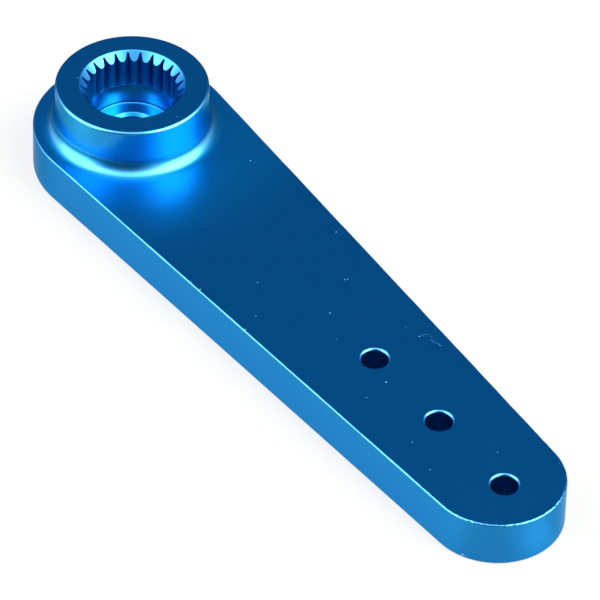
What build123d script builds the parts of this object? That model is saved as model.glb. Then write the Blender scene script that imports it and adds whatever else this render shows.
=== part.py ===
from build123d import *
import math
import os

# A servo arm, machined from one piece of aluminium: a flat tapered lever with a round boss at its wide
# end. An internal spline in the boss grips the servo's output shaft, a screw through the floor of the
# socket holds the arm on, and pushrods are linked to the small holes at the narrow end.
#
# Millimetres. +Z is up and along the boss, +X runs from the boss to the narrow end. The origin is on
# the boss's axis, in the flat underside that the arm lies on.

# Lever
plate_thickness = 3.0
plate_edge_break = 0.06
underside_edge_break = 0.1

# Link holes, on the lever's centre line at inch spacings
first_link_hole = 25.4
link_hole_pitch = 6.35
link_hole_count = 3
link_hole_diameter = 1.6
link_hole_chamfer = 0.1
tip_radius = 4.0
tip_margin = 3.3    # from the last link hole's centre to the end of the lever

# Spline in the socket
tooth_count = 25
crest_diameter = 5.44    # across the tips of the teeth, which point inwards
tooth_height = 0.4
crest_rounding = 0.25
root_width = 0.12    # flat at the bottom of each groove
spline_depth = 2.25    # from the boss's face to the end of the teeth

# Socket
lead_in_margin = 0.105    # from the bottom of the grooves out to the rim of the lead-in cone
lead_in_angle = 45.0    # between the lead-in cone and the axis
pilot_step = 0.07    # the plain bore below the teeth is this much smaller in radius than their tips
socket_depth = 3.67
socket_corner_radius = 0.12
screw_hole_diameter = 3.04
screw_hole_chamfer = 0.22

# Boss
boss_face_width = 1.425    # ring-shaped face between the lead-in cone and the boss's side
boss_height = 3.05    # above the lever
boss_edge_break = 0.12
boss_fillet_radius = 1.0
shelf_width = 1.35    # from the boss's side to the round end of the lever

# Worked out from the sizes above
crest_radius = crest_diameter / 2
root_radius = crest_radius + tooth_height
lead_in_radius = root_radius + lead_in_margin
pilot_radius = crest_radius - pilot_step
boss_radius = lead_in_radius + boss_face_width
hub_radius = boss_radius + shelf_width
total_height = plate_thickness + boss_height
socket_floor = total_height - socket_depth
last_link_hole = first_link_hole + (link_hole_count - 1) * link_hole_pitch
tip_centre = last_link_hole + tip_margin - tip_radius

# The fillet ends on the shelf, short of the lever's edge break.
smallest_flat = 0.05
fillet_room = shelf_width - plate_edge_break - smallest_flat
base_fillet = min(boss_fillet_radius, fillet_room)


def polar_point(radius, degrees):
    """Point at a distance from the boss's axis, at an angle from +X."""
    angle = math.radians(degrees)
    return (radius * math.cos(angle), radius * math.sin(angle))


def lever_outline():
    """Two round ends joined by their common tangents."""
    tangent_angle = math.degrees(math.acos((hub_radius - tip_radius) / tip_centre))
    hub_side = polar_point(hub_radius, tangent_angle)
    tip_offset = polar_point(tip_radius, tangent_angle)
    tip_side = (tip_centre + tip_offset[0], tip_offset[1])
    hub_other_side = (hub_side[0], -hub_side[1])
    tip_other_side = (tip_side[0], -tip_side[1])
    with BuildSketch() as outline:
        with BuildLine():
            ThreePointArc(hub_side, (-hub_radius, 0), hub_other_side)
            Line(hub_other_side, tip_other_side)
            ThreePointArc(tip_other_side, (tip_centre + tip_radius, 0), tip_side)
            Line(tip_side, hub_side)
        make_face()
    return outline.sketch


def spline_outline():
    """Opening of the internal spline: round-tipped teeth with straight flanks between narrow roots."""
    pitch_angle = 360 / tooth_count
    root_half_angle = math.degrees(math.asin(root_width / 2 / root_radius))
    flank_start_angle = pitch_angle / 2 - root_half_angle
    crest_centre = crest_radius + crest_rounding
    # One tooth, pointing at the axis along +X: the flank runs from the root's corner and touches
    # the round tip, whose centre is on the tooth's middle line.
    corner = polar_point(root_radius, flank_start_angle)
    to_centre = (crest_centre - corner[0], -corner[1])
    distance = math.hypot(*to_centre)
    bearing = math.atan2(to_centre[1], to_centre[0])
    flank_length = math.sqrt(distance**2 - crest_rounding**2)
    flank_bearing = bearing - math.asin(crest_rounding / distance)
    touch = (
        corner[0] + flank_length * math.cos(flank_bearing),
        corner[1] + flank_length * math.sin(flank_bearing),
    )
    with BuildSketch() as opening:
        with BuildLine():
            for tooth in range(tooth_count):
                turn = Rot(0, 0, tooth * pitch_angle)
                next_turn = Rot(0, 0, (tooth + 1) * pitch_angle)
                lower_corner = turn * Vertex(corner[0], -corner[1])
                lower_touch = turn * Vertex(touch[0], -touch[1])
                tip = turn * Vertex(crest_radius, 0)
                upper_touch = turn * Vertex(*touch)
                upper_corner = turn * Vertex(*corner)
                root_middle = turn * Vertex(*polar_point(root_radius, pitch_angle / 2))
                next_corner = next_turn * Vertex(corner[0], -corner[1])
                Line(lower_corner, lower_touch)
                ThreePointArc(lower_touch, tip, upper_touch)
                Line(upper_touch, upper_corner)
                ThreePointArc(upper_corner, root_middle, next_corner)
        make_face()
    return opening.sketch


def round_edges(part, radius, height):
    """Circular edges of one radius about the boss's axis, in one level plane."""
    tolerance = 0.001
    found = []
    for edge in part.edges().filter_by(GeomType.CIRCLE):
        centre = edge.arc_center
        on_axis = math.hypot(centre.X, centre.Y) < tolerance
        at_height = abs(centre.Z - height) < tolerance
        if on_axis and at_height and abs(edge.radius - radius) < tolerance:
            found.append(edge)
    return found


def make_arm():
    with BuildPart() as arm:
        # Lever, with its upper and lower edges broken
        with BuildSketch():
            add(lever_outline())
        extrude(amount=plate_thickness)
        chamfer(arm.faces().sort_by(Axis.Z)[-1].edges(), length=plate_edge_break)
        chamfer(arm.faces().sort_by(Axis.Z)[0].edges(), length=underside_edge_break)

        # Boss, blended into the lever
        with BuildSketch(Plane.XY.offset(plate_thickness)):
            Circle(boss_radius)
        extrude(amount=boss_height)
        fillet(round_edges(arm, boss_radius, plate_thickness), radius=base_fillet)
        chamfer(round_edges(arm, boss_radius, total_height), length=boss_edge_break)

        # Plain bore below the teeth, with a rounded corner at its floor
        with BuildSketch(Plane.XY.offset(socket_floor)):
            Circle(pilot_radius)
        extrude(amount=socket_depth, mode=Mode.SUBTRACT)
        fillet(round_edges(arm, pilot_radius, socket_floor), radius=socket_corner_radius)

        # Teeth and their lead-in cone
        with BuildSketch(Plane.XY.offset(total_height - spline_depth)):
            add(spline_outline())
        extrude(amount=spline_depth, mode=Mode.SUBTRACT)
        cone_depth = lead_in_radius / math.tan(math.radians(lead_in_angle))
        with Locations((0, 0, total_height)):
            Cone(
                bottom_radius=0,
                top_radius=lead_in_radius,
                height=cone_depth,
                align=(Align.CENTER, Align.CENTER, Align.MAX),
                mode=Mode.SUBTRACT,
            )

        # Screw hole through the floor
        Cylinder(
            radius=screw_hole_diameter / 2,
            height=socket_floor,
            align=(Align.CENTER, Align.CENTER, Align.MIN),
            mode=Mode.SUBTRACT,
        )
        for height in (0, socket_floor):
            chamfer(round_edges(arm, screw_hole_diameter / 2, height), length=screw_hole_chamfer)

        # Link holes, chamfered on both sides
        for number in range(link_hole_count):
            hole_x = first_link_hole + number * link_hole_pitch
            with Locations((hole_x, 0, 0)):
                Cylinder(
                    radius=link_hole_diameter / 2,
                    height=plate_thickness,
                    align=(Align.CENTER, Align.CENTER, Align.MIN),
                    mode=Mode.SUBTRACT,
                )
                countersink_radius = link_hole_diameter / 2 + link_hole_chamfer
                Cone(
                    bottom_radius=countersink_radius,
                    top_radius=0,
                    height=countersink_radius,
                    align=(Align.CENTER, Align.CENTER, Align.MIN),
                    mode=Mode.SUBTRACT,
                )
            with Locations((hole_x, 0, plate_thickness)):
                Cone(
                    bottom_radius=0,
                    top_radius=countersink_radius,
                    height=countersink_radius,
                    align=(Align.CENTER, Align.CENTER, Align.MAX),
                    mode=Mode.SUBTRACT,
                )
    return arm.part


os.makedirs("parts", exist_ok=True)
export_step(make_arm(), "parts/servo_arm.step")
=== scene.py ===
import math

import bpy
import numpy as np
from mathutils import Matrix


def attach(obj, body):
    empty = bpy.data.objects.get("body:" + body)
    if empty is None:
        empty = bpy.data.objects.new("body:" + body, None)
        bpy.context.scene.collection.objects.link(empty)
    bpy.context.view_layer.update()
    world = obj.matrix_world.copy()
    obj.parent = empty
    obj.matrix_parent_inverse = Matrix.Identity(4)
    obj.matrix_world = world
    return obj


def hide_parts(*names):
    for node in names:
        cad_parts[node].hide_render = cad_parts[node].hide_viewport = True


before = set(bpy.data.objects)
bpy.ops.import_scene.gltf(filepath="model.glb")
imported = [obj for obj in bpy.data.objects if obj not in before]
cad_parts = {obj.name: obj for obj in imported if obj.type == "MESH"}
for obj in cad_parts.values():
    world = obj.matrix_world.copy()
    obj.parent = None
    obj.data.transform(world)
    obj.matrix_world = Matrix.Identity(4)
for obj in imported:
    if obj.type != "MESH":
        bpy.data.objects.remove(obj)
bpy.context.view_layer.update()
scene = bpy.context.scene


# Servo arm: one piece of aluminium, milled to a tapered lever with a round boss at its wide end,
# with 25 teeth broached inside the boss for the servo's shaft and three small holes for pushrods,
# blasted to a fine satin and anodised blue. Sizes are in millimetres until the mesh is made.
per_metre = 1000
facet_allowance = 0.005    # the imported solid's facets lie this far inside its true curves
plate_thickness = 3.0
hub_radius = 6.0 - facet_allowance
tip_radius = 4.0 - facet_allowance
tip_centre = 37.4
plate_edge_break = 0.06
underside_edge_break = 0.1
link_hole_centres = (25.4, 31.75, 38.1)
link_hole_radius = 0.8
link_hole_chamfer = 0.1

boss_radius = 4.65
boss_top = 6.05
boss_edge_break = 0.12
boss_fillet = 1.0

lead_in_radius = 3.225
tooth_count = 25
crest_radius = 2.72
root_radius = 3.12
crest_rounding = 0.25
root_half_width = 0.06
teeth_end = 3.8
pilot_radius = 2.65
socket_floor = 2.38
socket_corner = 0.12
screw_hole_radius = 1.52
screw_hole_chamfer = 0.22

edge_easing = 0.05    # how far blasting has rounded each broken edge's own corners
plate_edge_easing = 0.03
PLAIN, BROKEN_EDGE, BORE = 0, 1, 2    # kinds of surface, which the finish below tells apart
strip = 0.03    # narrow strip beside an eased corner, which keeps its shading off the flat face
full_turn = 2 * np.pi


def eased(corners, count=1):
    """Rows of points along straight lines through the corners, with each corner eased.

    A corner is its radius, its height, its easing and the kind of surface from it to the next.
    Radius and height are the same in all columns, or an array of one number for each of count
    columns. A corner c becomes the parabola (1-t)^2 a + 2 t (1-t) c + t^2 b, from a on the line
    before it to b on the line after it, each the easing away from c. One more row stands a strip
    further out on either side, or just under half of what is left of a short line. An easing of 0
    leaves the corner sharp. Gives (radius, height) by columns, and the kind of surface by rows.
    """
    points = np.array([[np.broadcast_to(size, count) for size in corner[:2]] for corner in corners])
    easing = [corner[2] for corner in corners]
    after = [corner[3] for corner in corners]
    t = np.linspace(0, 1, 5)[:, None, None]
    rows, kinds = [points[:1]], [after[0]]
    for i in range(1, len(points) - 1):
        corner, size = points[i], easing[i]
        if size == 0:
            rows.append(corner[None])
            kinds.append(after[i])
            continue
        sides = []
        for other in (i - 1, i + 1):
            line = points[other] - corner
            length = np.linalg.norm(line, axis=0)
            guard = np.minimum(strip, 0.45 * (length - size - easing[other]))
            sides.append((corner + line / length * size, corner + line / length * (size + guard)))
        (start, before_start), (end, past_end) = sides
        rows.append(before_start[None])
        rows.append((1 - t) ** 2 * start + 2 * t * (1 - t) * corner + t**2 * end)
        rows.append(past_end[None])
        kinds += [after[i - 1]] * 3 + [after[i]] * 4    # the parabola's middle is the first of the 4
    rows.append(points[-1:])
    return np.concatenate(rows), np.array(kinds + [after[-1]])


def carried_round(profile, angles, centre_x=0.0):
    """(radius, height) rows carried round an upright axis: x = centre + r cos a, y = r sin a."""
    radius, height = profile[:, 0], profile[:, 1]
    x = centre_x + radius * np.cos(angles)
    return np.stack([x, radius * np.sin(angles), np.broadcast_to(height, x.shape)], axis=-1)


# Half a tooth, folded about its middle line at angle 0: the round tip, the straight flank that
# touches it, and the narrow root that it shares with the next tooth.
half_pitch = np.pi / tooth_count
root_start = half_pitch - math.asin(root_half_width / root_radius)
root_corner = root_radius * np.array([math.cos(root_start), math.sin(root_start)])
tip_middle = crest_radius + crest_rounding
to_middle = np.array([tip_middle, 0]) - root_corner
corner_distance = np.linalg.norm(to_middle)
flank_length = math.sqrt(corner_distance**2 - crest_rounding**2)
flank_bearing = (
    math.atan2(to_middle[1], to_middle[0]) - math.asin(crest_rounding / corner_distance)
)
flank_direction = np.array([math.cos(flank_bearing), math.sin(flank_bearing)])
flank_end = root_corner + flank_length * flank_direction
tip_end = math.atan2(flank_end[1], flank_end[0])


def tooth_wall(angles):
    """The spline's radius by angle: tip_middle cos a - sqrt(rounding^2 - (tip_middle sin a)^2) on
    the tip, n.corner / n.(cos a, sin a) on the flank with its normal n, and then the root's."""
    folded = np.abs((angles + half_pitch) % (2 * half_pitch) - half_pitch)
    under_root = np.maximum(crest_rounding**2 - (tip_middle * np.sin(folded)) ** 2, 0)
    tip = tip_middle * np.cos(folded) - np.sqrt(under_root)
    normal = np.array([-flank_direction[1], flank_direction[0]])
    flank = (root_corner @ normal) / (np.cos(folded) * normal[0] + np.sin(folded) * normal[1])
    wall = np.where(folded < tip_end, tip, flank)
    return np.where(folded > root_start, root_radius, wall)


# The lever's rim: each point lies on a circle whose middle is on the centre line. Rows are that
# middle's x, the circle's radius and the direction of the outward normal. Along the two straight
# tangents the middle and the radius slide from the hub's to the tip's.
tangent_angle = math.acos((hub_radius - tip_radius) / tip_centre)
top_inset = 0.25    # the flat top starts this far in, beyond the widest stretch of the edge break
under_inset = underside_edge_break + edge_easing + strip


def tangent(shares, side):
    """Rim along the tangent on the +Y side (1) or the -Y side (-1), from 0 at the hub to 1."""
    shares = np.asarray(shares, float)
    radius = hub_radius + shares * (tip_radius - hub_radius)
    return np.stack([shares * tip_centre, radius, np.full_like(shares, side * tangent_angle)])


def rim_points(rim, inset):
    """The rim moved inwards: x = middle + (radius - inset) cos n, y = (radius - inset) sin n."""
    middle, radius, normal = rim
    return np.stack([middle + (radius - inset) * np.cos(normal), (radius - inset) * np.sin(normal)])


def share_at(x):
    """Share of a tangent's length at which the flat top's edge passes x."""
    start = (hub_radius - top_inset) * math.cos(tangent_angle)
    run = tip_centre - (hub_radius - tip_radius) * math.cos(tangent_angle)
    return (x - start) / run


def border(pieces, inset):
    """Closed border of a part of a flat face, anticlockwise: stretches of the rim, and cuts
    straight across the lever, given as (share, fractions of the half width)."""
    stretches = []
    for piece in pieces:
        if isinstance(piece, tuple):
            share, fractions = piece
            end = rim_points(tangent([share], 1), inset)[:, 0]
            stretch = np.stack([np.full_like(fractions, end[0]), fractions * end[1]])
        else:
            stretch = rim_points(piece, inset)
        stretches.append(stretch[:, :-1])
    return np.concatenate(stretches, axis=1)


def flat_face(ring, edge, height):
    """Level face from a ring round to its border: ring + share (edge - ring), column by column.
    The first row after the ring is a strip away from it, or less where the face is narrow."""
    widest_strip, later_rows = 0.3, (0.4, 0.7, 1.0)
    span = np.linalg.norm(edge - ring, axis=0)
    shares = [np.zeros_like(span), np.minimum(strip / span, widest_strip)]
    shares += [np.full_like(span, share) for share in later_rows]
    shares = np.array(shares)[:, None]
    points = ring + shares * (edge - ring)
    return np.stack([points[:, 0], points[:, 1], np.full_like(points[:, 0], height)], axis=-1)


# Columns of the boss and socket: each half tooth has 4 steps on its tip, 3 on its flank and 2 on
# its root. The flat top is shared out among the boss and the link holes by three cuts.
half_tooth = np.concatenate([
    np.linspace(0, tip_end, 5),
    np.linspace(tip_end, root_start, 4)[1:],
    np.linspace(root_start, half_pitch, 3)[1:],
])
one_tooth = np.concatenate([-half_tooth[:0:-1], half_tooth[:-1]])
columns = (one_tooth[None, :] + 2 * half_pitch * np.arange(tooth_count)[:, None]).ravel()
columns = np.sort((columns + np.pi) % full_turn - np.pi)
first_cut = 22.2
neighbours = zip(link_hole_centres, link_hole_centres[1:])
later_cuts = [(hole_x + next_x) / 2 for hole_x, next_x in neighbours]
cut_shares = [share_at(x) for x in (first_cut, *later_cuts)]
cut_end = rim_points(tangent(cut_shares[:1], 1), top_inset)[:, 0]
cut_angle = math.atan2(cut_end[1], cut_end[0])
columns = np.roll(columns, -np.argmin(np.abs(columns + cut_angle)))

# Where the boss's columns meet the border: the two nearest to the cut's ends lie exactly on them.
meeting = columns.copy()
for side in (-1, 1):
    meeting[np.argmin(np.abs(columns - side * cut_angle))] = side * cut_angle
inside_cut = np.abs(meeting) < cut_angle
cut_fractions = np.concatenate([
    [-1.0], np.tan(meeting[inside_cut]) / math.tan(cut_angle), [1.0]
])
beyond = meeting[~inside_cut]
beyond = np.concatenate([beyond[1:], beyond[:1]]) % full_turn
off_lever = np.minimum(beyond, full_turn - beyond)
reach = (hub_radius - top_inset) / np.cos(np.minimum(off_lever, tangent_angle) - tangent_angle)
hub_shares = np.where(off_lever < tangent_angle, share_at(reach * np.cos(off_lever)), 0)
hub_rim = np.stack([
    hub_shares * tip_centre,
    hub_radius + hub_shares * (tip_radius - hub_radius),
    np.where(off_lever < tangent_angle, np.sign(np.pi - beyond) * tangent_angle, beyond),
])

# The other columns of the lever: across a cut, along its sides from cut to cut, round its tip.
cut_columns, side_columns, tip_columns = 33, (41, 41, 17), 145
even_cut = np.linspace(-1, 1, cut_columns)
side_ends = [*cut_shares, 1]
side_shares = [
    np.linspace(start, end, count)
    for start, end, count in zip(side_ends, side_ends[1:], side_columns)
]
tip_normals = np.linspace(-tangent_angle, tangent_angle, tip_columns)
tip_arc = np.stack([
    np.full_like(tip_normals, tip_centre), np.full_like(tip_normals, tip_radius), tip_normals
])
cuts = [(cut_shares[0], cut_fractions), (cut_shares[1], even_cut), (cut_shares[2], even_cut)]
far_ends = [cuts[1], cuts[2], tip_arc]
fillet_rows = 25


def boss_profile(angles):
    """(radius, height) rows from the fillet's foot, up the boss, over its face, down the lead-in
    cone, the teeth, the plain bore and the screw hole, and out onto the underside. The fillet is
    middle + fillet (cos t, sin t)."""
    wall = tooth_wall(angles)
    turn = np.linspace(-np.pi / 2, -np.pi, fillet_rows)[:, None] * np.ones_like(angles)
    fillet = np.stack([
        boss_radius + boss_fillet + boss_fillet * np.cos(turn),
        plate_thickness + boss_fillet + boss_fillet * np.sin(turn),
    ], axis=1)
    chamfer_radius = screw_hole_radius + screw_hole_chamfer
    rest, kinds = eased([
        (boss_radius, plate_thickness + boss_fillet, 0, PLAIN),
        (boss_radius, boss_top - boss_edge_break, edge_easing, BROKEN_EDGE),
        (boss_radius - boss_edge_break, boss_top, edge_easing, PLAIN),
        (lead_in_radius, boss_top, edge_easing, PLAIN),
        (wall, boss_top - lead_in_radius + wall, 0, PLAIN),
        (wall, teeth_end, 0, BORE),
        (pilot_radius, teeth_end, 0, PLAIN),
        (pilot_radius, socket_floor, socket_corner, PLAIN),
        (chamfer_radius, socket_floor, edge_easing, PLAIN),
        (screw_hole_radius, socket_floor - screw_hole_chamfer, edge_easing, PLAIN),
        (screw_hole_radius, screw_hole_chamfer, edge_easing, PLAIN),
        (chamfer_radius, 0, edge_easing, PLAIN),
        (chamfer_radius + edge_easing + strip, 0, 0, PLAIN),
    ], len(angles))
    return np.concatenate([fillet, rest[1:]]), np.r_[[PLAIN] * len(fillet), kinds[1:]]


def hole_profile():
    """(radius, height) rows of a link hole: upper chamfer, drilled wall, lower chamfer."""
    chamfer_radius = link_hole_radius + link_hole_chamfer
    hole_ring = chamfer_radius + edge_easing + strip
    return eased([
        (hole_ring, plate_thickness, 0, PLAIN),
        (chamfer_radius, plate_thickness, edge_easing, BROKEN_EDGE),
        (link_hole_radius, plate_thickness - link_hole_chamfer, edge_easing, BORE),
        (link_hole_radius, link_hole_chamfer, edge_easing, BROKEN_EDGE),
        (chamfer_radius, 0, edge_easing, PLAIN),
        (hole_ring, 0, 0, PLAIN),
    ])


# The edges were broken by hand, so the breaks' width wavers along the rim. Each wave is its share
# of the width, its length and its phase.
long_waves = ((0.1, 7.3, 0.4), (0.08, 2.9, 1.9), (0.06, 1.13, 4.1))
fine_waves = ((0.12, 0.83, 0.7), (0.12, 0.47, 2.6), (0.14, 0.31, 5.2))
rough_from, rough_to = 31.0, 39.0    # from the first x to the second the fine waves rise to full size
wider_at_tip = 0.25
lower_waver = 0.3    # share of the upper break's waver that the lower one has


def waver(waves, distance):
    """Sum of size sin(full turn distance / length + phase) over the waves."""
    return sum(size * np.sin(full_turn * distance / length + phase) for size, length, phase in waves)


def rim_wall(rim):
    """Rim's profile carried along the rim: upper edge break, side, lower edge break. The breaks'
    inset and drop are multiplied by 1 + the long waves, and round the narrow end the upper one's
    also by its widening and the fine waves."""
    rows, kinds = eased([
        (top_inset, plate_thickness, 0, PLAIN),
        (plate_edge_break, plate_thickness, plate_edge_easing, BROKEN_EDGE),
        (0, plate_thickness - plate_edge_break, plate_edge_easing, PLAIN),
        (0, underside_edge_break, edge_easing, BROKEN_EDGE),
        (underside_edge_break, 0, edge_easing, PLAIN),
        (under_inset, 0, 0, PLAIN),
    ])
    rows = rows[:, :, 0]
    edge = rim_points(rim, 0)
    distance = np.cumsum(np.r_[0, np.linalg.norm(np.diff(edge, axis=1), axis=0)])
    long_waver, fine_waver = waver(long_waves, distance), waver(fine_waves, distance)
    near_tip = np.clip((edge[0] - rough_from) / (rough_to - rough_from), 0, 1)
    upper_width = 1 + long_waver + near_tip * (wider_at_tip + fine_waver)
    inset = np.repeat(rows[:, :1], rim.shape[1], axis=1)
    drop = np.repeat(plate_thickness - rows[:, 1:], rim.shape[1], axis=1)
    upper_break = (rows[:, 0] < top_inset) & (rows[:, 1] > plate_thickness / 2)
    inset[upper_break] *= upper_width
    drop[upper_break] *= upper_width
    lower_break = (rows[:, 0] > 0) & (rows[:, 0] < under_inset) & (rows[:, 1] < plate_thickness / 2)
    inset[lower_break] *= 1 + lower_waver * long_waver
    x = rim[0] + (rim[1] - inset) * np.cos(rim[2])
    y = (rim[1] - inset) * np.sin(rim[2])
    return np.stack([x, y, plate_thickness - drop], axis=-1), kinds


def grid_faces(rows, count, first, flipped):
    """Four-sided faces of a grid whose columns close on themselves."""
    near = np.arange(rows - 1)[:, None] * count + np.arange(count)
    beside = np.arange(rows - 1)[:, None] * count + (np.arange(count) + 1) % count
    quads = np.stack([near, beside, beside + count, near + count], axis=-1).reshape(-1, 4)
    return first + (quads[:, ::-1] if flipped else quads)


# The surfaces that close the arm's skin: points, kinds of surface and whether the faces are turned.
rows, kinds = boss_profile(columns)
turned_part = carried_round(rows, columns)
hub_pieces = [cuts[0], hub_rim]
foot = turned_part[0, :, :2].T
screw_ring = turned_part[-1, :, :2].T
surfaces = [
    (turned_part, kinds, False),
    (flat_face(foot, border(hub_pieces, top_inset), plate_thickness), PLAIN, True),
    (flat_face(screw_ring, border(hub_pieces, under_inset), 0), PLAIN, False),
]
for number, hole_x in enumerate(link_hole_centres):
    near_share, near_fractions = cuts[number]
    pieces = [
        far_ends[number],
        tangent(side_shares[number][::-1], 1),
        (near_share, near_fractions[::-1]),
        tangent(side_shares[number], -1),
    ]
    upper_border = border(pieces, top_inset)
    hole_angles = np.arctan2(upper_border[1], upper_border[0] - hole_x)
    rows, kinds = hole_profile()
    wall = carried_round(rows, hole_angles, hole_x)
    upper_ring, lower_ring = wall[0, :, :2].T, wall[-1, :, :2].T
    surfaces.append((wall, kinds, False))
    surfaces.append((flat_face(upper_ring, upper_border, plate_thickness), PLAIN, True))
    surfaces.append((flat_face(lower_ring, border(pieces, under_inset), 0), PLAIN, False))

stretches = [hub_rim]
stretches += [tangent(shares, -1) for shares in side_shares]
stretches += [tip_arc]
stretches += [tangent(shares[::-1], 1) for shares in reversed(side_shares)]
whole_rim = np.concatenate([stretch[:, :-1] for stretch in stretches], axis=1)
surfaces.append((*rim_wall(whole_rim), True))

corners, faces, kinds = [], [], []
for points, kind, flipped in surfaces:
    rows, count = points.shape[:2]
    faces.append(grid_faces(rows, count, sum(len(block) for block in corners), flipped))
    corners.append(points.reshape(-1, 3))
    kinds.append(np.repeat(np.broadcast_to(kind, rows), count))
corners, faces, kinds = np.concatenate(corners), np.concatenate(faces), np.concatenate(kinds)

# Where two surfaces meet they have the same points, which are made one.
weld = 1e-5
_, kept, joined = np.unique(np.round(corners / weld), axis=0, return_index=True, return_inverse=True)
faces = joined.ravel()[faces]
whole = np.array([len(set(face)) == 4 for face in faces.tolist()])
sharp_angle = math.radians(32)
arm_mesh = bpy.data.meshes.new("servo_arm_machined")
arm_mesh.from_pydata((corners[kept] / per_metre).tolist(), [], faces[whole].tolist())
arm_mesh.polygons.foreach_set("use_smooth", np.ones(len(arm_mesh.polygons), bool))
arm_mesh.set_sharp_from_angle(angle=sharp_angle)
for kind, name in ((BROKEN_EDGE, "broken_edge"), (BORE, "bore")):
    mask = arm_mesh.attributes.new(name, "FLOAT", "POINT")
    mask.data.foreach_set("value", (kinds[kept] == kind).astype(np.float32))
arm = bpy.data.objects.new("servo_arm_machined", arm_mesh)
scene.collection.objects.link(arm)
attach(arm, "root")
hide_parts("servo_arm")


class Wire:
    """A socket in a node tree. Python's + - * and ** on it add the Math nodes that work it out."""

    def __init__(self, finish, socket):
        self.finish, self.socket = finish, socket

    def maths(self, operation, *values):
        return self.finish.node("Math", {"operation": operation}, dict(enumerate(values)))

    def __add__(self, other):
        return self.maths("ADD", self, other)

    def __sub__(self, other):
        return self.maths("SUBTRACT", self, other)

    def __rsub__(self, other):
        return self.maths("SUBTRACT", other, self)

    def __mul__(self, other):
        return self.maths("MULTIPLY", self, other)

    def __pow__(self, other):
        return self.maths("POWER", self, other)

    __radd__, __rmul__ = __add__, __mul__

    def rise(self, start, end):
        """0 up to start and 1 from end on, smoothly between; the other way round if end is lower."""
        low, high = min(start, end), max(start, end)
        settings = {"interpolation_type": "SMOOTHSTEP", "clamp": True}
        values = {"Value": self, "From Min": low, "From Max": high}
        up = self.finish.node("MapRange", settings, values)
        return up if start < end else 1 - up


class Finish:
    """A node tree to paint something with. Every node is added by node()."""

    def __init__(self, owner):
        owner.use_nodes = True
        self.tree = owner.node_tree
        self.tree.nodes.clear()

    def node(self, kind, settings=None, values=None, output=0):
        """Adds a node of a type, with its settings set first and then its sockets' values or links."""
        made = self.tree.nodes.new("ShaderNode" + kind)
        for name, value in (settings or {}).items():
            setattr(made, name, value)
        for name, value in (values or {}).items():
            if isinstance(value, Wire):
                self.tree.links.new(value.socket, made.inputs[name])
            else:
                made.inputs[name].default_value = value
        return Wire(self, made.outputs[output]) if made.outputs else None

    def place(self):
        """Where a point of the piece lies, in millimetres."""
        metres = self.node("TexCoord", output=3)
        return self.node("VectorMath", {"operation": "SCALE"}, {0: metres, "Scale": per_metre})

    def parts(self, vector):
        """The three numbers of a vector."""
        return [self.node("SeparateXYZ", None, {0: vector}, axis) for axis in range(3)]

    def noise(self, place, scale, detail=2.0):
        """Blender's noise at so many features a millimetre, from 0 to 1."""
        values = {"Vector": place, "Scale": scale, "Detail": detail, "Roughness": 0.55}
        return self.node("TexNoise", {"noise_dimensions": "3D"}, values)

    def mix(self, factor, plain, other):
        """Colour that goes from plain to other as factor goes from 0 to 1."""
        settings = {"data_type": "RGBA", "clamp_factor": True}
        return self.node("Mix", settings, {0: factor, 6: plain, 7: other}, 2)


# Blue anodising over the blasted metal: a clear dyed layer that takes the shine of the aluminium
# under it. Its colour also carries painted light and shade: the broken edges are paler, partly worn
# thin and partly a painted highlight, the fillet and the lead-in carry a painted highlight, painted
# shade darkens the drilled holes, the ledge under the teeth, the teeth and the socket's floor, and
# painted reflected light brightens the plate round the boss, the boss's side and the socket's plain
# bore.
anodised = bpy.data.materials.new("blue_anodising")
paint = Finish(anodised)
place = paint.place()
x, y, height = paint.parts(place)
radius = (x * x + y * y) ** 0.5    # from the boss's axis
edge = paint.node("Attribute", {"attribute_name": "broken_edge"}, output=2)
bore = paint.node("Attribute", {"attribute_name": "bore"}, output=2)

# Masks, 1 on a stretch of the surface and 0 off it.
fillet_foot = boss_radius + boss_fillet
cone_level = boss_top - lead_in_radius    # height less radius, anywhere on the lead-in
screw_rim = screw_hole_radius + screw_hole_chamfer
pale_radius, plain_radius = 7.0, 13.0    # the painted reflected light round the boss fades between these

# Painted reflected light round the boss: the plate there and the boss's side get a brighter blue.
beside_boss = radius.rise(plain_radius, pale_radius)
beside_boss = beside_boss * radius.rise(boss_radius - 0.45, boss_radius - 0.15)
beside_boss = beside_boss * height.rise(boss_top - 0.05, boss_top - 0.15)
beside_boss = beside_boss * height.rise(plate_thickness - 0.15, plate_thickness - 0.05)
on_boss_side = beside_boss * height.rise(plate_thickness + 0.3, plate_thickness + 0.8)
round_foot = beside_boss * height.rise(plate_thickness + 0.12, plate_thickness + 0.04)

# Painted highlight: the fillet gets a paler, redder blue that whitens its bright band.
painted_highlight_on_fillet = height.rise(plate_thickness + 0.06, plate_thickness + 0.16)
painted_highlight_on_fillet = painted_highlight_on_fillet * height.rise(plate_thickness + 0.62, plate_thickness + 0.36)
painted_highlight_on_fillet = painted_highlight_on_fillet * radius.rise(fillet_foot + 0.05, fillet_foot - 0.05)
painted_highlight_on_fillet = painted_highlight_on_fillet * radius.rise(boss_radius - 0.15, boss_radius + 0.05)

# Painted highlight: the lead-in cone gets a paler, redder blue.
lead_in = (height - radius).rise(cone_level - 0.035, cone_level - 0.005)
lead_in = lead_in * radius.rise(lead_in_radius + 0.015, lead_in_radius - 0.025)

# Painted shade: between the teeth the blue is darker.
in_teeth = height.rise(teeth_end - 0.05, teeth_end + 0.05)
in_teeth = in_teeth * radius.rise(root_radius + 0.08, root_radius + 0.03) * (1 - lead_in)

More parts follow.
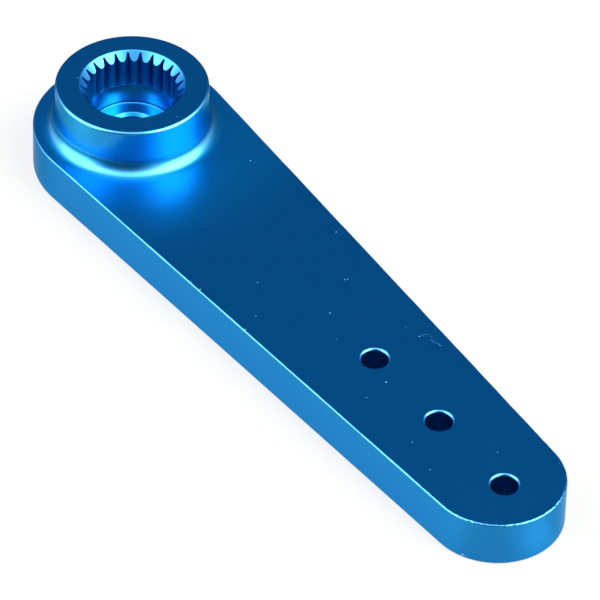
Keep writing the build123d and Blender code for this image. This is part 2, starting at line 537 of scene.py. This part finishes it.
# Painted reflected light: the plain bore below the teeth gets a much paler blue.
in_pilot = height.rise(teeth_end + 0.02, teeth_end - 0.02)
in_pilot = in_pilot * radius.rise(pilot_radius + 0.05, pilot_radius + 0.03)
in_pilot = in_pilot * height.rise(socket_floor + 0.02, socket_floor + 0.22)

# Painted shade: the socket's floor gets a darker blue.
on_socket_floor = height.rise(socket_floor + 0.04, socket_floor)
on_socket_floor = on_socket_floor * height.rise(socket_floor - 0.06, socket_floor - 0.02)
on_socket_floor = on_socket_floor * radius.rise(screw_rim - 0.04, screw_rim + 0.02)
on_socket_floor = on_socket_floor * radius.rise(pilot_radius + 0.15, pilot_radius + 0.05)

# The colour: a cloudy blue dye, then each mask's own colour over what came before: painted highlights,
# painted reflected light, painted shade and the paler broken edges.
cloud = paint.noise(place, 0.16, 3.0)
mottle = paint.noise(place, 1.4, 3.0)
grain = paint.noise(place, 11.0)
rub_and_sheen = paint.noise(place, 2.6, 4.0)
dye_and_painted_light = paint.mix(cloud * 0.5 + mottle * 0.3, (0.003, 0.228, 0.585, 1), (0.004, 0.252, 0.635, 1))
shades = [
    (beside_boss, (0.002, 0.258, 0.66, 1)),
    (on_boss_side, (0.006, 0.288, 0.61, 1)),
    (painted_highlight_on_fillet, (0.05, 0.3, 0.62, 1)),
    (lead_in, (0.035, 0.26, 0.6, 1)),
    (in_teeth, (0.002, 0.1, 0.38, 1)),
    (in_pilot, (0.03, 0.57, 0.9, 1)),
    (on_socket_floor, (0.008, 0.18, 0.5, 1)),
    # broken edges paler: partly worn thin, partly a painted highlight
    (edge * (0.05 + 0.45 * rub_and_sheen), (0.22, 0.52, 0.82, 1)),
    # painted shade down the drilled holes and on the ledge under the teeth
    (bore * 0.95, (0.002, 0.2, 0.5, 1)),
]
for mask, shade in shades:
    dye_and_painted_light = paint.mix(mask, dye_and_painted_light, shade)

# Specks of dust and a nick, as x, y, radius and how well they cover. The last two on the lever are
# knots near the ends of the lint, and the nick is low on the lever's side.
dust_on_lever = [
    (27.425, -0.639, 0.06, 0.9), (20.743, 0.09, 0.06, 0.65), (18.817, 2.491, 0.055, 0.6),
    (18.868, 2.664, 0.055, 0.6), (24.169, 3.074, 0.05, 0.3), (6.882, 3.97, 0.06, 0.6),
    (7.171, 4.055, 0.05, 0.25), (15.051, 4.522, 0.06, 0.55), (22.819, -0.888, 0.06, 0.3),
    (27.868, -2.343, 0.07, 0.3), (32.368, -2.31, 0.06, 0.4), (34.789, -2.806, 0.06, 0.4),
    (35.752, 1.243, 0.055, 0.45), (38.45, 3.63, 0.05, 0.35), (16.197, -1.923, 0.06, 0.4),
    (18.576, -3.662, 0.06, 0.45), (19.738, -1.984, 0.05, 0.2), (14.853, -5.08, 0.08, 0.6),
    (19.197, -4.86, 0.08, 0.6), (13.977, -5.13, 0.07, 0.35), (25.281, 3.259, 0.05, 0.8),
    (26.6, 3.81, 0.04, 0.4),
]
dust_on_boss = [(-2.285, -2.4, 0.06, 0.4), (4.042, 0.552, 0.06, 0.4)]
nick = [(39.173, -3.586, 0.11, 0.6)]
nick_height = 0.25
dust = 0.0
for level, spots in ((plate_thickness, dust_on_lever), (boss_top, dust_on_boss), (nick_height, nick)):
    for spot_x, spot_y, size, cover in spots:
        ends = {0: place, 1: (spot_x, spot_y, level)}
        away = paint.node("VectorMath", {"operation": "DISTANCE"}, ends, 1)
        dust = away.rise(size, 0.4 * size) * cover + dust
dye_and_painted_light = paint.mix(dust, dye_and_painted_light, (0.22, 0.6, 0.82, 1))

roughness = 0.28 + 0.03 * mottle + 0.02 * grain - 0.05 * edge + 0.27 * in_teeth + 0.3 * dust
roughness = roughness - 0.09 * (in_pilot + on_socket_floor) + 0.06 * round_foot
relief = grain * 0.7 + mottle * 0.3
bump = paint.node("Bump", None, {"Strength": 0.12, "Distance": 0.00001, "Height": relief})
surface = paint.node("BsdfPrincipled", None, {
    "Base Color": dye_and_painted_light, "Metallic": 1 - dust, "Roughness": roughness, "Normal": bump,
    "Specular Tint": (0.42, 0.7, 0.85, 1),
    "Coat Weight": 0.1, "Coat Roughness": 0.14, "Coat IOR": 2.2,
})
paint.node("OutputMaterial", None, {"Surface": surface})
arm_mesh.materials.append(anodised)


# Lint: one hair-thin fibre of pale fluff, some 2 mm long, that has settled on the lever beside the
# first link hole. Nothing holds it there, and its ends taper off.
bends = np.array([
    (25.281, 3.259, 0.003), (25.273, 3.465, 0.004), (25.327, 3.627, 0.003), (25.505, 3.857, 0.0025),
    (25.689, 3.89, 0.0015), (25.865, 3.67, 0.004), (26.0, 3.638, 0.005), (26.162, 3.679, 0.005),
    (26.369, 3.773, 0.004), (26.599, 3.822, 0.006), (26.759, 3.892, 0.004),
])    # x, y and the fibre's radius there
steps_to_bend = 10
bend_numbers = np.arange(len(bends))
steps = np.linspace(0, bend_numbers[-1], steps_to_bend * bend_numbers[-1] + 1)
straight = np.stack([np.interp(steps, bend_numbers, column) for column in bends.T])

# Its bends are softened: each point is the mean of those up to so many steps away from it.
spread = 4
softened = straight.copy()
inner = len(steps) - 2 * spread
window = [straight[:, shift:shift + inner] for shift in range(2 * spread + 1)]
softened[:, spread:-spread] = sum(window) / len(window)


def fibre(course):
    """A ring of six points round each point of the course, tapering to both ends: course +
    radius (sin t, sideways, and cos t, upwards), resting on the lever's top."""
    heading = np.gradient(course[:2], axis=1)
    heading = heading / np.linalg.norm(heading, axis=0)
    t = np.arange(6) * np.pi / 3
    taper = course[2] * np.clip(np.minimum(steps, steps[-1] - steps) * 2, 0.05, 1)
    across = taper[:, None] * np.sin(t)
    x = course[0][:, None] - across * heading[1][:, None]
    y = course[1][:, None] + across * heading[0][:, None]
    z = plate_thickness + course[2][:, None] + taper[:, None] * np.cos(t)
    return np.stack([x, y, z], axis=-1)


tube = fibre(softened)
rows, count = tube.shape[:2]
tube_faces = grid_faces(rows, count, 0, False).tolist()
tube_faces += [list(range(count))[::-1], list(range((rows - 1) * count, rows * count))]
lint_mesh = bpy.data.meshes.new("lint")
lint_mesh.from_pydata((tube.reshape(-1, 3) / per_metre).tolist(), [], tube_faces)
lint_mesh.polygons.foreach_set("use_smooth", np.ones(len(lint_mesh.polygons), bool))
lint = bpy.data.objects.new("lint", lint_mesh)
scene.collection.objects.link(lint)
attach(lint, "root")
fluff = bpy.data.materials.new("fluff")
fluff_paint = Finish(fluff)
streak = fluff_paint.noise(fluff_paint.place(), 9.0)
pale = fluff_paint.mix(streak, (0.05, 0.26, 0.45, 1), (0.11, 0.4, 0.62, 1))
fluff_surface = fluff_paint.node("BsdfPrincipled", None, {"Base Color": pale, "Roughness": 0.8})
fluff_paint.node("OutputMaterial", None, {"Surface": fluff_surface})
lint_mesh.materials.append(fluff)


# Studio floor: matt white card, drawn mostly as bright white for the camera and for reflections, so
# that it meets the white surround and still keeps a faint shadow under the arm. In metres.
floor_half = 3.0
floor_drop = 0.00002    # keeps the card clear of the arm's underside
floor_mesh = bpy.data.meshes.new("studio_floor")
reach_x, reach_y = np.meshgrid([-floor_half, floor_half], [-floor_half, floor_half])
floor_corners = np.stack([reach_x.ravel(), reach_y.ravel(), np.full(4, -floor_drop)], axis=1)
floor_mesh.from_pydata(floor_corners.tolist(), [], [(0, 1, 3, 2)])
floor = bpy.data.objects.new("studio_floor", floor_mesh)
scene.collection.objects.link(floor)
card = bpy.data.materials.new("studio_card")
card_paint = Finish(card)
place = card_paint.place()
weave = card_paint.noise(place, 0.9)
white = card_paint.mix(weave, (0.56, 0.56, 0.56, 1), (0.6, 0.6, 0.6, 1))
matt = card_paint.node("BsdfDiffuse", None, {"Color": white, "Roughness": 0.8})


def ray_kinds(finish):
    """1 for rays from the camera, for mirrored rays and for rays through glass, in that order."""
    return [finish.node("LightPath", output=number) for number in (0, 3, 6)]


# In reflections the card is painted darker with distance from the arm's centre line, and has painted
# pools of shade and of light: x and y of the middle in millimetres, the radius up to which a pool is
# full, the radius at which it ends, and the change. Under the arm the card has only its own light.
camera_ray, glossy_ray, through_ray = ray_kinds(card_paint)
x, y, _ = card_paint.parts(place)
off_line = x - x.maths("MINIMUM", x.maths("MAXIMUM", x, 0.0), tip_centre)
off_line = (off_line**2 + y**2) ** 0.5
beyond_arm = off_line.rise(3.0, 3.8)
near = off_line.rise(26.0, 9.0)
far_level = 0.15
mirrored = far_level + (1 - far_level) * near
shade_and_light_pools = (
    (41.4, -3.9, 1.3, 4.0, -0.33),    # in front of the narrow end
    (-5.5, -6.5, 2.0, 6.0, -0.3),    # beside the hub
    (43.1, 1.2, 0.6, 2.6, 0.44),    # on the narrow end's right
    (-5.0, -19.5, 6.0, 13.0, 1.2),    # further out beyond the hub
)
for middle_x, middle_y, full, end, change in shade_and_light_pools:
    away = ((x - middle_x) ** 2 + (y - middle_y) ** 2) ** 0.5
    mirrored = mirrored * (1 + change * away.rise(end, full))
white_share = 0.72    # share of plain white in what is seen, the rest being the card's own light
seen = (camera_ray + through_ray) * white_share + glossy_ray * (1 - (1 - white_share) * near)
strength = 1 - glossy_ray * (1 - mirrored)
glow = card_paint.node("Emission", None, {"Color": (1, 1, 1, 1), "Strength": strength})
card_surface = card_paint.node("MixShader", None, {0: seen * beyond_arm, 1: matt, 2: glow})
card_paint.node("OutputMaterial", None, {"Surface": card_surface})
floor_mesh.materials.append(card)


# Studio light: a bright, slightly warm softbox on the arm's right, a weaker one on its left and a
# wide, low one above and in front, in a white surround. The arm mirrors two bluish dark screens in
# it, one behind the arm and one behind the camera, and a brighter wall on either side.
lit_point = np.array([0.0188, 0.0, 0.003])
lamp_distance = 0.8


def softbox(name, azimuth, elevation, half_width, half_height, radiance, colour=(1, 1, 1)):
    """A rectangular lamp that faces the arm, its size and place given as angles seen from there.
    radiance is what a mirror there would show, so the power is pi times it times the area."""
    a, e = math.radians(azimuth), math.radians(elevation)
    toward = np.array([math.cos(a) * math.cos(e), math.sin(a) * math.cos(e), math.sin(e)])
    lamp = bpy.data.lights.new(name, "AREA")
    lamp.shape, lamp.color = "RECTANGLE", colour
    lamp.size = 2 * lamp_distance * math.tan(math.radians(half_width))
    lamp.size_y = 2 * lamp_distance * math.tan(math.radians(half_height))
    lamp.energy = math.pi * radiance * lamp.size * lamp.size_y
    box = bpy.data.objects.new(name, lamp)
    scene.collection.objects.link(box)
    box.location = lit_point + lamp_distance * toward
    box.rotation_euler = (math.pi / 2 - e, 0, a + math.pi / 2)
    box.visible_camera = False


softbox("softbox_right", 38, 41, half_width=25, half_height=28, radiance=5.6, colour=(1, 0.97, 0.7))
softbox("softbox_left", 246, 34, half_width=24, half_height=33, radiance=2.6)
softbox("softbox_above", 324, 71, half_width=42, half_height=15, radiance=1.95)

world = bpy.data.worlds.new("studio")
scene.world = world
sky = Finish(world)
toward_x, toward_y, toward_z = sky.parts(sky.node("TexCoord", output=0))


def patch(azimuth, elevation, half_width, half_height, soft):
    """1 inside a patch of the surround and 0 outside it, with a soft border, all in degrees. The
    direction is turned until the patch's middle is straight ahead, and its angles sideways and
    upwards are then set against the half width and the half height."""
    a, e = math.radians(azimuth), math.radians(elevation)
    forward = (math.cos(a) * math.cos(e), math.sin(a) * math.cos(e), math.sin(e))
    sideways = (-math.sin(a), math.cos(a), 0.0)
    above = (-math.cos(a) * math.sin(e), -math.sin(a) * math.sin(e), math.cos(e))
    ahead, aside, aloft = (
        toward_x * axis[0] + toward_y * axis[1] + toward_z * axis[2]
        for axis in (forward, sideways, above)
    )
    turn = aside.maths("ARCTAN2", aside, ahead) * (180 / math.pi)
    lift = aloft.maths("ARCTAN2", aloft, ahead.maths("ABSOLUTE", ahead)) * (180 / math.pi)
    within_width = turn.maths("ABSOLUTE", turn).rise(half_width + soft, half_width - soft)
    within_height = lift.maths("ABSOLUTE", lift).rise(half_height + soft, half_height - soft)
    return within_width * within_height


behind_arm = patch(143, 32, half_width=50, half_height=34, soft=8)
behind_camera = patch(315, 14, half_width=32, half_height=31, soft=8)
right_wall = patch(42, 42, half_width=46, half_height=24, soft=10)
left_wall = patch(243, 40, half_width=44, half_height=24, soft=10)
camera_ray, glossy_ray, through_ray = ray_kinds(sky)
shade = (1 - 0.825 * behind_arm) * (1 - 0.9 * behind_camera)
walls = (0.7 * right_wall + 0.9 * left_wall) * glossy_ray
cast_level = 0.87    # the surround's brightness as a source of light, where it is seen as 1
level = cast_level + (1 - cast_level) * (camera_ray + glossy_ray + through_ray) + walls
level = level * (shade + camera_ray * (1 - shade))
bluish = (behind_arm + behind_camera) * (1 - camera_ray)
hue = sky.mix(bluish, (1, 1, 1, 1), (0.35, 1.0, 1.55, 1))
surround = sky.node("Background", None, {"Color": hue, "Strength": level})
sky.node("OutputWorld", None, {"Surface": surround})


# Camera: a long lens at the photograph's angle, tilted a little to its left. Angles are in radians
# and distances in metres.
view_azimuth, view_elevation, view_roll = -0.625054083, 0.728097737, 0.0272682839
view_distance = 0.351874
look_at = np.array([0.0188402, -0.00072148, 0.003])
back = np.array([
    math.cos(view_azimuth) * math.cos(view_elevation),
    math.sin(view_azimuth) * math.cos(view_elevation),
    math.sin(view_elevation),
])
level_right = np.cross(-back, (0, 0, 1)) / math.cos(view_elevation)
level_up = np.cross(level_right, -back)
right = level_right * math.cos(view_roll) + level_up * math.sin(view_roll)
up = level_up * math.cos(view_roll) - level_right * math.sin(view_roll)
lens = bpy.data.cameras.new("camera")
lens.sensor_width = 36.0
lens.lens = 360.919
lens.clip_start, lens.clip_end = 0.01, 20.0
camera = bpy.data.objects.new("camera", lens)
scene.collection.objects.link(camera)
placing = np.eye(4)
placing[:3, 0], placing[:3, 1], placing[:3, 2] = right, up, back
placing[:3, 3] = look_at + back * view_distance
camera.matrix_world = Matrix(placing.tolist())
scene.camera = camera
scene.view_settings.view_transform = "Standard"
